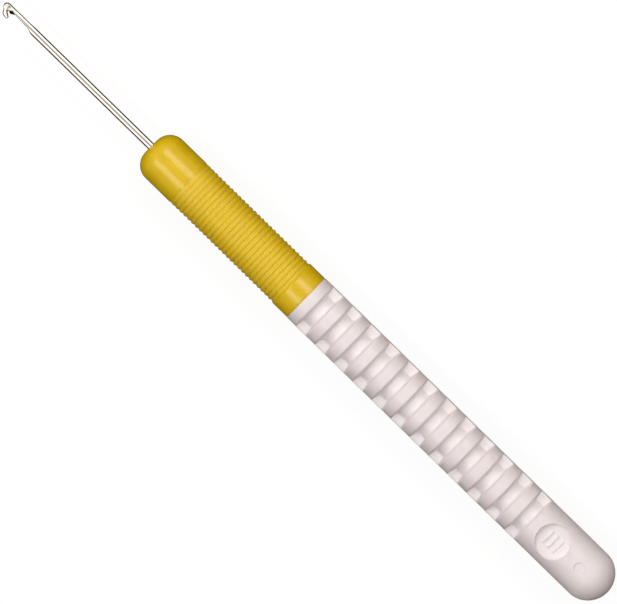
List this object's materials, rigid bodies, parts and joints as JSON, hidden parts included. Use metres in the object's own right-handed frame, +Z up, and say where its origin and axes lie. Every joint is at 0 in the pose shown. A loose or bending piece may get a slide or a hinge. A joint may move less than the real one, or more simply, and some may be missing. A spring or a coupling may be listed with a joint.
{
  "type": "crochet hook",
  "caption": "Fine steel crochet hook with a ringed plastic handle, a ribbed grip sleeve round its front and a round size mark near the domed butt.",
  "frame": {"origin": "on the surface that the hook lies on, below the middle of its overall length", "axes": "+X along the hook towards its steel tip, +Y towards the lip of the hook, +Z up through the crown of the handle that carries the round size mark"},
  "size_m": [0.13, 0.0086, 0.0085],
  "materials": {
    "polished_steel": "polished, fine lengthwise drawing marks",
    "white_plastic": "satin moulded, slightly translucent",
    "yellow_plastic": "satin moulded, soft to the touch"
  },
  "bodies": {
    "root": {"steel_hook": "polished_steel", "handle": "white_plastic", "grip_sleeve": "yellow_plastic"}
  },
  "joints": []
}
